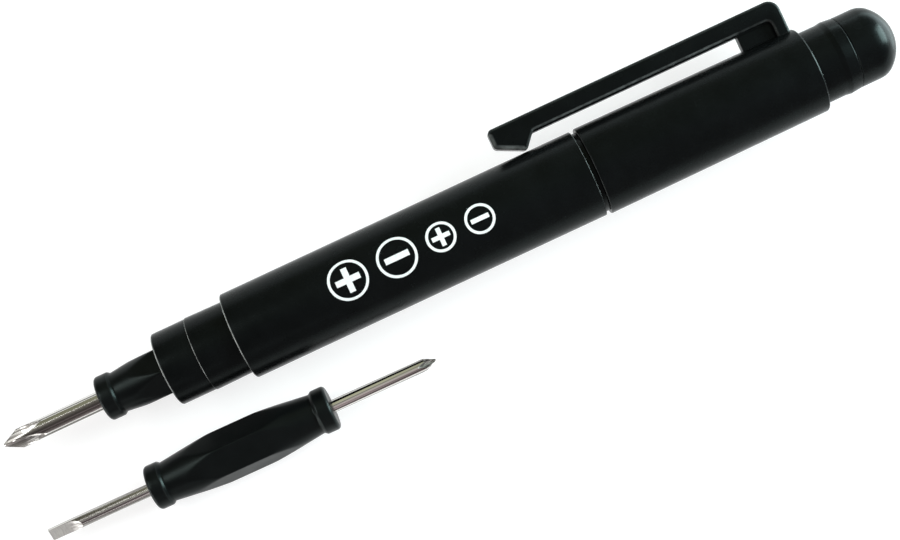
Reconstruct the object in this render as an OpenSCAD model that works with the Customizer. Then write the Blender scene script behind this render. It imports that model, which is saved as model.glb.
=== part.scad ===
// Pen-style pocket screwdriver with a pocket clip, lying on a table beside its spare double-ended bit.
// X runs along the handle from the tip to the tail, Y points towards the clip and Z is up, in millimetres.
// Places along the handle are measured as u, from the front face of the nose towards the tail.

/* [Barrel] */
// Outside diameter of the barrel
barrel_d = 13.6; // [12.8:0.1:16]
// Length of the barrel
barrel_l = 57.75; // [50:0.25:75]
// Rounding of the rims of the barrel and the cap
rim_r = 0.4; // [0.1:0.05:0.6]

/* [Nose] */
// Diameter of the nose ring
nose_ring_d = 11.5; // [10.8:0.1:12.5]
// Length of the nose ring
nose_ring_l = 5.55; // [3:0.05:7]
// Rounding of the nose ring's front edge
nose_round_r = 0.5; // [0.1:0.05:0.6]
// Thickness of the nose ring's front lip
nose_lip_t = 0.9; // [0.7:0.1:1.5]
// Diameter of the nose bush beside the ring
nose_bush_d = 11.7; // [11.2:0.1:12.6]
// Diameter of the nose bush beside the barrel
nose_bush_rear_d = 11.5; // [11.2:0.1:12.6]
// Length of the nose bush in front of the barrel
nose_bush_l = 6.3; // [4:0.1:9]
// Thickness of the bush's floor, on which the bit's inner collar bears
bush_floor_t = 1.2; // [0.8:0.1:3]
// Outside diameter of the hex socket
socket_d = 9.4; // [9:0.1:9.8]
// Length of the hex socket
socket_l = 12.1; // [8:0.1:13]
// Width of the split ring that holds the bit by its collar
snap_ring_w = 0.8; // [0.5:0.05:1.2]
// Thickness of the split ring, outwards
snap_ring_t = 0.9; // [0.5:0.05:1.1]
// Opening of the split ring, in degrees
snap_ring_gap = 40; // [20:5:90]

/* [Core tube] */
// Outside diameter of the core tube and of its spigot
core_d = 11; // [10.6:0.1:11.4]
// Length of the spigot inside the cap
spigot_l = 13.6; // [9:0.1:20]
// Diameter of the collar that stops the cap and shows in the groove
stop_d = 12.7; // [12:0.1:13.2]
// Bore that stores the spare bit
store_d = 8.7; // [8.4:0.1:9.2]
// Bore around the inner blade of the bit in use
blade_chamber_d = 5.2; // [4:0.1:8]
// Wall between the blade's chamber and the store
bulkhead_t = 1.3; // [0.8:0.1:3]

/* [Cap] */
// Width of the groove between the barrel and the cap
groove_w = 0.8; // [0.3:0.1:2]
// Diameter of the cap at its mouth
cap_front_d = 13.8; // [13.4:0.1:16]
// Diameter of the cap at its rear end
cap_rear_d = 13.35; // [12.8:0.05:16]
// Length of the cap
cap_l = 36; // [30:0.5:50]
// Distance of the friction ring from the cap's mouth
friction_ring_inset = 5.6; // [3:0.1:8]
// Width of the friction ring
friction_ring_w = 1.5; // [0.8:0.1:2.5]
// Thickness of the friction ring, outwards
friction_ring_t = 0.6; // [0.3:0.05:0.7]

/* [Tail] */
// Diameter of the tail's neck
tail_neck_d = 11.35; // [11.2:0.05:12.4]
// Length of the tail's neck
tail_neck_l = 5.8; // [4:0.1:9]
// Length of the tail plug inside the cap
plug_seat_l = 5.9; // [4:0.1:9]
// Diameter of the hollow in the tail plug
plug_hollow_d = 8.7; // [6:0.1:9.2]
// Thickness of the wall that closes the tail plug
plug_end_t = 2; // [1:0.1:3]
// Diameter of the tail plug's rear spigot
plug_spigot_d = 8.6; // [6:0.1:9.4]
// Length of the tail plug's rear spigot
plug_spigot_l = 3.2; // [2:0.1:4]
// Diameter of the tail dome
tail_dome_d = 11.25; // [10.6:0.05:12.4]
// Length of the tail dome
tail_dome_l = 7.7; // [6.5:0.1:10]
// Radius of the dome's shoulder
dome_shoulder_r = 3.2; // [2.5:0.1:4.5]
// How much larger the radius of the dome's crown is than the dome's own
dome_crown_extra = 0.8; // [0.2:0.1:14]

/* [Clip] */
// Width of the clip
clip_w = 4; // [3:0.1:6]
// Height of the clip's outer face above the barrel
clip_rise = 5.2; // [4.6:0.1:7]
// Thickness of the clip's arm
clip_t = 2.55; // [2:0.05:2.8]
// Depth of the narrow rib under the arm
clip_rib_t = 0.45; // [0.2:0.05:0.8]
// Width of the narrow rib under the arm
clip_rib_w = 2.4; // [1.5:0.1:3]
// Reach of the clip past the cap's mouth
clip_reach = 12; // [6:0.5:20]
// Gap between the clip's bump and the barrel
clip_tip_gap = 0.35; // [0.2:0.05:1]
// Height of the clip's front face
clip_tip_h = 3.1; // [2.6:0.1:3.6]
// Length of the ramp from the front face to the bump
clip_ramp_l = 4.2; // [3:0.1:6]
// Length of the bump's rear slope
clip_bump_l = 1.7; // [1:0.1:3]
// Thickness of the clip's rear leg
clip_leg_t = 2.3; // [2:0.1:3.5]
// Distance of the rear leg from the cap's rear end
clip_leg_inset = 0.3; // [0.1:0.05:1]
// Rounding of the clip's rear corner
clip_corner_r = 1.1; // [0.4:0.1:1.1]
// Length of the gusset in front of the leg
clip_gusset_l = 5.4; // [3:0.1:8]
// Width of the gusset and of the tongue in the cap's wall
clip_gusset_w = 2; // [1.2:0.1:2.6]
// Share of the knuckle's radius that stands out of the leg's head
clip_knuckle_share = 0.6; // [0.4:0.05:0.8]

/* [Bit grips] */
// Length of a bit's grip
grip_l = 29.3; // [26:0.1:32]
// Length of the grip that stands out of the nose
grip_out = 10.65; // [8:0.05:12]
// Diameter of the grip's end collars
collar_d = 6.9; // [6.6:0.05:7]
// Width of the grip's end collars
collar_w = 2.2; // [1.5:0.1:3]
// Bevel of the collars' edges
collar_bevel = 0.4; // [0.1:0.05:0.5]
// Diameter of the grip's neck, beside a collar
neck_d = 6.2; // [5.6:0.1:6.5]
// Diameter that the grip's cones would reach in its middle
spindle_d = 9.1; // [8.6:0.1:10]
// Width of the grip across its six flats
grip_flats_w = 7.1; // [7.05:0.05:7.3]

/* [Blades] */
// Diameter of the blade of the bit in use
large_blade_d = 3; // [2.5:0.1:3.4]
// Length of its cross-point blade outside the grip
large_cross_l = 15.95; // [12:0.05:22]
// Length of its slotted blade outside the grip
large_slot_l = 16.25; // [12:0.05:17]
// Thickness of its slotted tip
large_slot_t = 0.6; // [0.4:0.05:0.9]
// Diameter of the spare bit's blade
small_blade_d = 2; // [1.6:0.1:2.6]
// Length of its cross-point blade outside the grip
small_cross_l = 17; // [12:0.1:17]
// Length of its slotted blade outside the grip
small_slot_l = 16.6; // [12:0.1:17]
// Thickness of its slotted tip
small_slot_t = 0.4; // [0.3:0.05:0.7]
// Extra diameter of a blade's knurled middle, which holds it in the grip
knurl_extra = 0.3; // [0.1:0.05:0.6]
// Turn of the cross point of the bit in use, in degrees
large_cross_turn = 0; // [0:1:90]
// Turn of the spare bit's cross point, in degrees
small_cross_turn = 45; // [0:1:90]
// Turn of the bits' slotted tips, in degrees
slot_turn = -28; // [-90:1:90]
// Length of a slotted tip's flats, in blade diameters
slot_flat_share = 1.5; // [1:0.1:3]
// Length of the run-out behind a slotted tip's flats, in blade diameters
slot_run_share = 1.1; // [0.8:0.1:2.4]
// Length of a cross point's flutes, in blade diameters
flute_share = 2.2; // [1.5:0.1:3]
// Angle of a cross point's cone
point_angle = 53; // [40:1:70]
// Blunt end of a cross point, in blade diameters
point_blunt_share = 0.15; // [0.1:0.01:0.45]
// Core of a cross point between its flutes, in blade diameters
point_core_share = 0.12; // [0.08:0.01:0.3]

/* [Spare bit's place] */
// Distance of the spare grip's middle behind the nose's front face
spare_back = 4.9; // [-10:0.1:40]
// Distance of the spare bit from the handle's axis
spare_aside = 15.7; // [13:0.1:30]
// Turn of the spare bit from the handle's direction, in degrees
spare_turn = 0.6; // [-2:0.1:2]

/* [Fits] */
// Gap around pieces that are fixed in each other
seat_fit = 0.02; // [0.01:0.01:0.05]
// Gap around pieces that slide or turn in each other
slide_fit = 0.05; // [0.02:0.01:0.08]
// Room around a collar, a blade or a grip that passes through
pass_room = 0.15; // [0.1:0.01:0.3]
// Gap around the flexing end of the clip's arm
flex_gap = 0.12; // [0.1:0.01:0.2]

/* [Hidden] */
$fn = 96;
// How far a cut runs past the piece it cuts, and a shank into the piece it joins
past = 1;
// Steps of a curved run-out
run_steps = 8;

black_plastic = [0.06, 0.06, 0.065];
black_ring = [0.1, 0.1, 0.1];
bright_steel = [0.78, 0.78, 0.76];
socket_metal = [0.62, 0.6, 0.55];

// Places along the handle
ring_rear_u = nose_ring_l;
barrel_front_u = ring_rear_u + nose_bush_l;
barrel_rear_u = barrel_front_u + barrel_l;
cap_front_u = barrel_rear_u + groove_w;
cap_rear_u = cap_front_u + cap_l;
neck_rear_u = cap_rear_u + tail_neck_l;
tail_u = neck_rear_u + tail_dome_l;
tip_u = -grip_out - large_cross_l;
grip_rear_u = grip_l - grip_out;
socket_rear_u = nose_lip_t + socket_l;
bush_seat_u = grip_rear_u + slide_fit;
bush_rear_u = bush_seat_u + bush_floor_t;
blade_rear_u = grip_rear_u + large_slot_l;
chamber_rear_u = blade_rear_u + 2 * pass_room;
store_front_u = chamber_rear_u + bulkhead_t;
spigot_rear_u = cap_front_u + spigot_l;
plug_front_u = cap_rear_u - plug_seat_l;

// Radii that several pieces share
grip_corner_r = grip_flats_w / 2 / cos(30);
mouth_r = grip_corner_r + pass_room;
collar_pass_r = collar_d / 2 + pass_room;
cap_bore_r = core_d / 2 + slide_fit;
spindle_slope = (spindle_d - neck_d) / (grip_l - 2 * collar_w);
snap_front_u = grip_rear_u - collar_w - 2 * slide_fit - snap_ring_w;
snap_inner_r = neck_d / 2 + spindle_slope * (grip_rear_u - collar_w - snap_front_u) + slide_fit;
snap_outer_r = snap_inner_r + snap_ring_t;
friction_front_u = cap_front_u + friction_ring_inset;
friction_inner_r = core_d / 2 + slide_fit / 2;
friction_outer_r = friction_inner_r + friction_ring_t;

// The clip's profile
clip_outer_r = barrel_d / 2 + clip_rise;
clip_inner_r = clip_outer_r - clip_t;
clip_rib_r = clip_inner_r - clip_rib_t;
clip_tip_u = cap_front_u - clip_reach;
leg_rear_u = cap_rear_u - clip_leg_inset;
leg_front_u = leg_rear_u - clip_leg_t;
gusset_front_u = leg_front_u - clip_gusset_l;
knuckle_r = clip_t / 2 - flex_gap;
hinge_u = leg_front_u + clip_leg_t / 3;
hinge_r = clip_outer_r - clip_t / 2;
arm_rear_u = hinge_u - knuckle_r * clip_knuckle_share;
arm_foot_u = leg_front_u - flex_gap;

// Where the handle and the spare bit lie, with the origin under the middle of the whole
axis_z = max(barrel_d, cap_front_d) / 2;
nose_x = -(tip_u + tail_u) / 2;
spare_ridge_l = (spindle_d - 2 * grip_corner_r) / spindle_slope;
spare_half_y = grip_corner_r * cos(spare_turn) + spare_ridge_l / 2 * sin(abs(spare_turn));
handle_y = -(clip_outer_r - spare_aside - spare_half_y) / 2;

// Points of an arc about (x, y), from angle a to angle b
function arc(x, y, r, a, b, steps = 8) =
    [for (i = [0:steps]) [x + r * cos(a + (b - a) * i / steps), y + r * sin(a + (b - a) * i / steps)]];

// The cap's outside radius at a place along it, which follows its draft
function cap_r(u) = (cap_front_d + (cap_rear_d - cap_front_d) * (u - cap_front_u) / cap_l) / 2;

// Puts a shape that is drawn about the handle's axis, with X along it, where the handle lies
module on_handle() {
    translate([nose_x, handle_y, axis_z]) children();
}

// Turns a profile of radius against place about the handle's axis
module turned() {
    on_handle() rotate([0, 90, 0]) rotate_extrude() children();
}

// A plain tube about the handle's axis
module tube(front_u, rear_u, inner_r, outer_r) {
    turned() translate([inner_r, front_u]) square([outer_r - inner_r, rear_u - front_u]);
}

// A sleeve's profile with both outer rims rounded
module sleeve_profile(front_u, rear_u, bore_r, front_r, rear_r) {
    polygon(concat(
        [[bore_r, front_u]],
        arc(front_r - rim_r, front_u + rim_r, rim_r, -90, 0),
        arc(rear_r - rim_r, rear_u - rim_r, rim_r, 0, 90),
        [[bore_r, rear_u]]
    ));
}

module barrel() {
    color(black_plastic)
    turned()
        sleeve_profile(barrel_front_u, barrel_rear_u, core_d / 2 + seat_fit, barrel_d / 2, barrel_d / 2);
}

module nose_ring() {
    socket_seat_r = socket_d / 2 + seat_fit;
    color(black_plastic)
    turned() polygon(concat(
        [[mouth_r, 0]],
        arc(nose_ring_d / 2 - nose_round_r, nose_round_r, nose_round_r, -90, 0),
        [[nose_ring_d / 2, ring_rear_u],
         [socket_seat_r, ring_rear_u],
         [socket_seat_r, nose_lip_t],
         [mouth_r, nose_lip_t]]
    ));
}

module nose_bush() {
    socket_seat_r = socket_d / 2 + seat_fit;
    snap_groove_r = snap_outer_r + pass_room;
    color(black_plastic)
    turned() polygon([
        [socket_seat_r, ring_rear_u],
        [nose_bush_d / 2, ring_rear_u],
        [nose_bush_rear_d / 2, barrel_front_u],
        [core_d / 2, barrel_front_u],
        [core_d / 2, bush_rear_u],
        [large_blade_d / 2 + pass_room, bush_rear_u],
        [large_blade_d / 2 + pass_room, bush_seat_u],
        [collar_pass_r, bush_seat_u],
        [collar_pass_r, snap_front_u + snap_ring_w + seat_fit],
        [snap_groove_r, snap_front_u + snap_ring_w + seat_fit],
        [snap_groove_r, snap_front_u - seat_fit],
        [collar_pass_r, snap_front_u - seat_fit],
        [collar_pass_r, socket_rear_u],
        [socket_seat_r, socket_rear_u]
    ]);
}

module hex_socket() {
    color(socket_metal)
    on_handle() rotate([0, 90, 0]) translate([0, 0, nose_lip_t])
    difference() {
        cylinder(d = socket_d, h = socket_l);
        translate([0, 0, -past])
            cylinder(r = grip_corner_r + slide_fit / cos(30), h = socket_l + 2 * past, $fn = 6);
    }
}

module snap_ring() {
    color(bright_steel)
    on_handle() rotate([0, 90, 0]) rotate([0, 0, snap_ring_gap / 2])
    rotate_extrude(angle = 360 - snap_ring_gap)
        translate([snap_inner_r, snap_front_u]) square([snap_ring_t, snap_ring_w]);
}

module core_tube() {
    color(black_plastic)
    turned() polygon([
        [blade_chamber_d / 2, bush_rear_u],
        [core_d / 2, bush_rear_u],
        [core_d / 2, barrel_rear_u + seat_fit],
        [stop_d / 2, barrel_rear_u + seat_fit],
        [stop_d / 2, cap_front_u - slide_fit],
        [core_d / 2, cap_front_u - slide_fit],
        [core_d / 2, spigot_rear_u - rim_r],
        [core_d / 2 - rim_r, spigot_rear_u],
        [store_d / 2, spigot_rear_u],
        [store_d / 2, store_front_u],
        [0, store_front_u],
        [0, chamber_rear_u],
        [blade_chamber_d / 2, chamber_rear_u]
    ]);
}

module friction_ring() {
    color(black_ring)
    tube(friction_front_u, friction_front_u + friction_ring_w, friction_inner_r, friction_outer_r);
}

module cap() {
    groove_front_u = friction_front_u - slide_fit;
    groove_rear_u = friction_front_u + friction_ring_w + slide_fit;
    slot_w = clip_gusset_w + 2 * seat_fit;
    slot_front_u = leg_front_u - seat_fit;
    color(black_plastic)
    difference() {
        turned()
            sleeve_profile(cap_front_u, cap_rear_u, cap_bore_r, cap_front_d / 2, cap_rear_d / 2);
        tube(groove_front_u, groove_rear_u, cap_bore_r - past, friction_outer_r + slide_fit / 2);
        on_handle() translate([slot_front_u, 0, -slot_w / 2])
            cube([cap_rear_u - slot_front_u + past, cap_front_d, slot_w]);
    }
}

module tail_plug() {
    plug_r = cap_bore_r - seat_fit;
    color(black_plastic)
    turned() polygon([
        [plug_hollow_d / 2, plug_front_u],
        [plug_r, plug_front_u],
        [plug_r, cap_rear_u],
        [tail_neck_d / 2, cap_rear_u],
        [tail_neck_d / 2, neck_rear_u],
        [plug_spigot_d / 2, neck_rear_u],
        [plug_spigot_d / 2, neck_rear_u + plug_spigot_l],
        [0, neck_rear_u + plug_spigot_l],
        [0, neck_rear_u - plug_end_t],
        [plug_hollow_d / 2, neck_rear_u - plug_end_t]
    ]);
}

module tail_dome() {
    dome_r = tail_dome_d / 2;
    shoulder_x = dome_r - dome_shoulder_r;
    crown_r = dome_r + dome_crown_extra;
    crown_u = tail_u - crown_r;
    shoulder_u = crown_u + sqrt(pow(crown_r - dome_shoulder_r, 2) - pow(shoulder_x, 2));
    meet = atan2(shoulder_u - crown_u, shoulder_x);
    hollow_r = plug_spigot_d / 2 + seat_fit;
    hollow_u = neck_rear_u + plug_spigot_l + seat_fit;
    color(black_plastic)
    turned() polygon(concat(
        [[hollow_r, neck_rear_u]],
        [[dome_r, neck_rear_u]],
        arc(shoulder_x, shoulder_u, dome_shoulder_r, 0, meet, 12),
        arc(0, crown_u, crown_r, meet, 90, 8),
        [[0, hollow_u], [hollow_r, hollow_u]]
    ));
}

// The cap's whole outside as a solid, grown by a gap, which a piece that sits on the cap is cut with
module cap_outside(gap) {
    turned() polygon([
        [0, cap_front_u],
        [cap_front_d / 2 + gap, cap_front_u],
        [cap_rear_d / 2 + gap, cap_rear_u],
        [0, cap_rear_u]
    ]);
}

module clip_root() {
    head_front_u = arm_rear_u + flex_gap;
    tongue_r = cap_bore_r + seat_fit;
    tongue_top_r = cap_r(leg_rear_u) + clip_rib_t;
    gusset_top_r = clip_rib_r - flex_gap;
    color(black_plastic) {
        difference() {
            on_handle() union() {
                linear_extrude(height = clip_w, center = true) {
                    polygon(concat(
                        [[leg_front_u, 0],
                         [leg_rear_u, 0]],
                        arc(leg_rear_u - clip_corner_r, clip_outer_r - clip_corner_r, clip_corner_r, 0, 90),
                        [[head_front_u, clip_outer_r],
                         [head_front_u, hinge_r],
                         [leg_front_u, hinge_r - knuckle_r]]
                    ));
                    translate([hinge_u, hinge_r]) circle(r = knuckle_r);
                }
                translate([gusset_front_u, 0, -clip_gusset_w / 2])
                    cube([clip_gusset_l + clip_leg_t / 2, gusset_top_r, clip_gusset_w]);
            }
            cap_outside(seat_fit);
        }
        on_handle() translate([leg_front_u, tongue_r, -clip_gusset_w / 2])
            cube([clip_leg_t, tongue_top_r - tongue_r, clip_gusset_w]);
    }
}

module clip_arm() {
    bump_r = barrel_d / 2 + clip_tip_gap;
    bump_u = clip_tip_u + clip_ramp_l;
    bump_rear_u = bump_u + clip_bump_l;
    color(black_plastic)
    on_handle() difference() {
        union() {
            linear_extrude(height = clip_w, center = true) polygon([
                [clip_tip_u, clip_outer_r],
                [clip_tip_u, clip_outer_r - clip_tip_h],
                [bump_u, bump_r],
                [bump_rear_u, clip_inner_r],
                [arm_foot_u, clip_inner_r],
                [arm_foot_u, hinge_r - knuckle_r],
                [arm_rear_u, hinge_r],
                [arm_rear_u, clip_outer_r]
            ]);
            translate([bump_u, clip_rib_r, -clip_rib_w / 2])
                cube([arm_foot_u - bump_u, clip_rib_t + clip_t / 2, clip_rib_w]);
        }
        translate([hinge_u, hinge_r, -clip_w])
            cylinder(r = knuckle_r + flex_gap, h = 2 * clip_w);
    }
}

// A bit's grip along Z: two collars and a double cone, trimmed to six flats, on a blade of diameter blade_d
module grip(blade_d) {
    collar_r = collar_d / 2;
    half = [
        [collar_r - collar_bevel, 0],
        [collar_r, collar_bevel],
        [collar_r, collar_w - collar_bevel],
        [collar_r - collar_bevel, collar_w],
        [neck_d / 2, collar_w]
    ];
    other_half = [for (i = [len(half) - 1:-1:0]) [half[i][0], grip_l - half[i][1]]];
    color(black_plastic)
    difference() {
        intersection() {
            rotate_extrude()
                polygon(concat([[0, 0]], half, [[spindle_d / 2, grip_l / 2]], other_half, [[0, grip_l]]));
            cylinder(r = grip_corner_r, h = grip_l, $fn = 6);
        }
        translate([0, 0, -past])
            cylinder(d = blade_d + knurl_extra + 2 * seat_fit, h = grip_l + 2 * past);
    }
}

// A cross point along Z with its tip at zero, a wing towards X and a shank of the given length
module cross_blade(blade_d, length) {
    tip_r = blade_d * point_blunt_share / 2;
    core_r = blade_d * point_core_share / 2;
    point_l = (blade_d / 2 - tip_r) / tan(point_angle / 2);
    flute_l = flute_share * blade_d;
    flute_tilt = atan((blade_d / 2 - core_r) / flute_l);
    difference() {
        rotate_extrude() polygon([
            [0, 0],
            [tip_r, 0],
            [blade_d / 2, point_l],
            [blade_d / 2, length],
            [0, length]
        ]);
        for (turn = [45:90:315])
            rotate([0, 0, turn]) translate([core_r, 0, 0]) rotate([0, flute_tilt, 0])
            translate([0, 0, -blade_d]) linear_extrude(height = flute_l + 3 * blade_d)
            rotate([0, 0, -45]) square(2 * blade_d);
    }
}

// A slotted blade along Z with its tip at zero, its flats towards X and a shank of the given length
module slot_blade(blade_d, length, tip_t) {
    flat_l = slot_flat_share * blade_d;
    run_l = slot_run_share * blade_d;
    rise = (blade_d - tip_t) / 2;
    side = concat(
        [[blade_d, -past], [tip_t / 2, -past], [tip_t / 2, flat_l]],
        [for (i = [1:run_steps])
            [tip_t / 2 + rise * pow(i / run_steps, 2), flat_l + run_l * i / run_steps]],
        [[blade_d, flat_l + run_l]]
    );
    difference() {
        cylinder(d = blade_d, h = length);
        for (turn = [0, 180])
            rotate([0, 0, turn]) rotate([90, 0, 0])
            linear_extrude(height = 2 * blade_d, center = true) polygon(side);
    }
}

// A double-ended blade along Z whose knurled middle fills the grip from zero to its length
module blade(blade_d, cross_l, slot_l, slot_t, cross_turn) {
    color(bright_steel) {
        translate([0, 0, -cross_l]) rotate([0, 0, cross_turn])
            cross_blade(blade_d, cross_l + past);
        cylinder(d = blade_d + knurl_extra, h = grip_l);
        translate([0, 0, grip_l + slot_l]) rotate([0, 0, slot_turn]) mirror([0, 0, 1])
            slot_blade(blade_d, slot_l + past, slot_t);
    }
}

// Puts a bit that is drawn along Z into the nose
module in_nose() {
    on_handle() rotate([0, 90, 0]) translate([0, 0, -grip_out]) children();
}

// Puts a bit that is drawn along Z on the table, slotted end first
module on_table() {
    translate([nose_x + spare_back, handle_y - spare_aside, grip_flats_w / 2])
        rotate([0, 0, -spare_turn]) rotate([0, -90, 0]) translate([0, 0, -grip_l / 2]) children();
}

module large_grip() {
    in_nose() grip(large_blade_d);
}

module large_blade() {
    in_nose() blade(large_blade_d, large_cross_l, large_slot_l, large_slot_t, large_cross_turn);
}

module small_grip() {
    on_table() rotate([0, 0, 30]) grip(small_blade_d);
}

module small_blade() {
    on_table() blade(small_blade_d, small_cross_l, small_slot_l, small_slot_t, small_cross_turn);
}

barrel();
nose_ring();
nose_bush();
hex_socket();
snap_ring();
core_tube();
friction_ring();
cap();
tail_plug();
tail_dome();
clip_root();
clip_arm();
large_grip();
large_blade();
small_grip();
small_blade();
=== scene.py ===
import math

import bmesh
import bpy
import numpy as np
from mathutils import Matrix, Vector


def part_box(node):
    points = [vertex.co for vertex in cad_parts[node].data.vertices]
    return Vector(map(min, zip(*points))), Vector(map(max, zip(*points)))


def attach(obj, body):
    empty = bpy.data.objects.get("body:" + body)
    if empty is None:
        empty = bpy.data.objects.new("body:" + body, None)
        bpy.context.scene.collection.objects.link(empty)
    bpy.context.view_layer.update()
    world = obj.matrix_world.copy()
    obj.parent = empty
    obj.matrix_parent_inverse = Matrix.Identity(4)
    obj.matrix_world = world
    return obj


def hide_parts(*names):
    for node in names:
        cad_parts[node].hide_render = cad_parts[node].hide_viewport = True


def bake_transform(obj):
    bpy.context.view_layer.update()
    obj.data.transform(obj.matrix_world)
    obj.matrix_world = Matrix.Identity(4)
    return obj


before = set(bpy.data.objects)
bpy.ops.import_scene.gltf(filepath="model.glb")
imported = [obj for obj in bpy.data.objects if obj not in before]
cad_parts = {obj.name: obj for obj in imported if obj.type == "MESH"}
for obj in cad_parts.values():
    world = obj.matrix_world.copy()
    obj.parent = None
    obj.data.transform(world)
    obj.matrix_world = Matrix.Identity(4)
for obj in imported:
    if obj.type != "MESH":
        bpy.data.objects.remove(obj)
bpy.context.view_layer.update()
mm = 0.001

# where the CAD puts the handle: u counts millimetres from its front face, along X
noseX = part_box("nose_ring")[0].x / mm
barrelLow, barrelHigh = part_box("barrel")
axisY = (barrelLow.y + barrelHigh.y) / 2 / mm
axisZ = (barrelLow.z + barrelHigh.z) / 2 / mm
spareLow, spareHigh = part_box("small_grip")
spareX, spareY, spareZ = (np.array(spareLow) + np.array(spareHigh)) / 2 / mm
print("frame: nose x %.2f, axis y %.2f z %.2f, spare x %.2f y %.2f" % (noseX, axisY, axisZ, spareX, spareY))

# how fine the meshes are, in millimetres and degrees, and how narrow the wear and painted highlight on a
# rounding is
meshing = dict(sharpest=0.012, arcSteps=9, edgeSteps=6, turnSteps=224, mergeWithin=0.0015, sharpAngle=32,
               wearAndHighlightFocus=4)
fullTurn = np.linspace(0, 2 * np.pi, meshing["turnSteps"], endpoint=False)


# quads between neighbouring points of a grid, numbered row by row; each row closes, and so may the columns
def gridQuads(rows, cols, wrapRows=False):
    i, j = np.meshgrid(np.arange(rows if wrapRows else rows - 1), np.arange(cols), indexing="ij")
    k, m = (i + 1) % rows, (j + 1) % cols
    return np.stack([i * cols + j, k * cols + j, k * cols + m, i * cols + m], axis=-1).reshape(-1, 4)


# one mesh from shells of (grid of points in millimetres, faces, marks), doubles merged and faces outwards
def makePiece(name, shells, material, sharpAngle=meshing["sharpAngle"]):
    points, faces, marks, first = [], [], [], 0
    for grid, shellFaces, shellMarks in shells:
        points.append(grid.reshape(-1, 3))
        faces += [[int(v) + first for v in face] for face in shellFaces]
        marks.append(np.broadcast_to(shellMarks, grid.shape[:-1]).ravel())
        first += len(points[-1])
    mesh = bpy.data.meshes.new(name)
    mesh.from_pydata((np.concatenate(points) * mm).tolist(), [], faces)
    mark = mesh.attributes.new("mark", "FLOAT", "POINT")
    mark.data.foreach_set("value", np.concatenate(marks).astype(np.float32))
    bm = bmesh.new()
    bm.from_mesh(mesh)
    bmesh.ops.remove_doubles(bm, verts=bm.verts, dist=meshing["mergeWithin"] * mm)
    bmesh.ops.recalc_face_normals(bm, faces=bm.faces)
    bm.to_mesh(mesh)
    bm.free()
    mesh.polygons.foreach_set("use_smooth", np.ones(len(mesh.polygons), bool))
    mesh.set_sharp_from_angle(angle=math.radians(sharpAngle))
    mesh.materials.append(material)
    piece = bpy.data.objects.new(name, mesh)
    bpy.context.scene.collection.objects.link(piece)
    return piece


# a polyline of (place, radius, rounding, rim mark) corners, each turned into an arc of its rounding;
# the mark, partly wear and partly a painted highlight on the rim, rises from nothing to the corner's value in
# the middle of its arc
def roundedLine(corners, closed=True):
    c = np.array(corners, float)
    p, r, wearAndHighlight = c[:, :2], np.maximum(c[:, 2], meshing["sharpest"]), c[:, 3]
    a, b = np.roll(p, 1, axis=0) - p, np.roll(p, -1, axis=0) - p
    a /= np.linalg.norm(a, axis=1, keepdims=True)
    b /= np.linalg.norm(b, axis=1, keepdims=True)
    half = np.arccos(np.clip((a * b).sum(1), -1, 1)) / 2
    middle = a + b
    middle /= np.linalg.norm(middle, axis=1, keepdims=True)
    centre = p + middle * (r / np.sin(half))[:, None]
    start = p + a * (r / np.tan(half))[:, None] - centre
    end = p + b * (r / np.tan(half))[:, None] - centre
    k = np.linspace(0, 1, meshing["arcSteps"])[None, :, None]
    sweep = (np.pi - 2 * half)[:, None, None]
    arc = (np.sin((1 - k) * sweep) * start[:, None] + np.sin(k * sweep) * end[:, None]) / np.sin(sweep)
    line = centre[:, None] + arc
    mark = wearAndHighlight[:, None] * np.sin(np.pi * k[:, :, 0]) ** meshing["wearAndHighlightFocus"]
    if not closed:  # the two ends of an open line stay as they are
        line = np.concatenate([p[:1], line[1:-1].reshape(-1, 2), p[-1:]])
        return line, np.concatenate([[0], mark[1:-1].ravel(), [0]])
    return line.reshape(-1, 2), mark.ravel()


# points added along a closed line's straight runs so that no step is longer than the given one
def closeSteps(line, step):
    whole = np.concatenate([line, line[:1]])
    run = np.diff(whole, axis=0)
    count = np.maximum(1, np.ceil(np.linalg.norm(run, axis=1) / step)).astype(int)
    which = np.repeat(np.arange(len(run)), count)
    share = (np.arange(count.sum()) - np.repeat(np.cumsum(count) - count, count)) / count[which]
    return whole[which] + run[which] * share[:, None]


# a line of place u against radius, carried round the handle's axis
def roundAxis(line):
    u, r = line[:, :1], line[:, 1:]
    y, z = axisY + r * np.sin(fullTurn), axisZ + r * np.cos(fullTurn)
    return np.stack([noseX + u + 0 * fullTurn, y, z], axis=-1)


# on a one-sided rim the wear and painted highlight begin at this sine of the angle round the axis, and are
# full a little further;
# the sine is 1 on the clip's side, the side the light comes from
litRimSide = dict(begin=-0.8, over=0.35)


# a rounded line carried round the handle's axis; a one-sided rim gets no wear or painted highlight on the
# side away from the clip, which faces away from the light
def turnedShell(corners, closed=True, litSideOnly=False):
    line, mark = roundedLine(corners, closed=closed)
    side = np.ones(len(fullTurn))
    if litSideOnly:
        side = np.clip((np.sin(fullTurn) - litRimSide["begin"]) / litRimSide["over"], 0, 1)
    return roundAxis(line), gridQuads(len(line), len(fullTurn), wrapRows=closed), mark[:, None] * side


# a shape drawn along its own z is laid with z along a direction and its x towards an upward one
def laid(local, origin, along, upward):
    along, upward = np.array(along, float), np.array(upward, float)
    side = np.cross(along, upward)
    return np.array(origin) + local[..., 2:] * along + local[..., :1] * upward + local[..., 1:2] * side


# materials: each starts from its own shader, and a pattern comes from Object coordinates in metres
def newFinish(name, constants):
    material = bpy.data.materials.new(name)
    material.use_nodes = True
    tree = material.node_tree
    shader = tree.nodes["Principled BSDF"]
    for socket, value in constants.items():
        shader.inputs[socket].default_value = value
    return material, tree, shader


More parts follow.
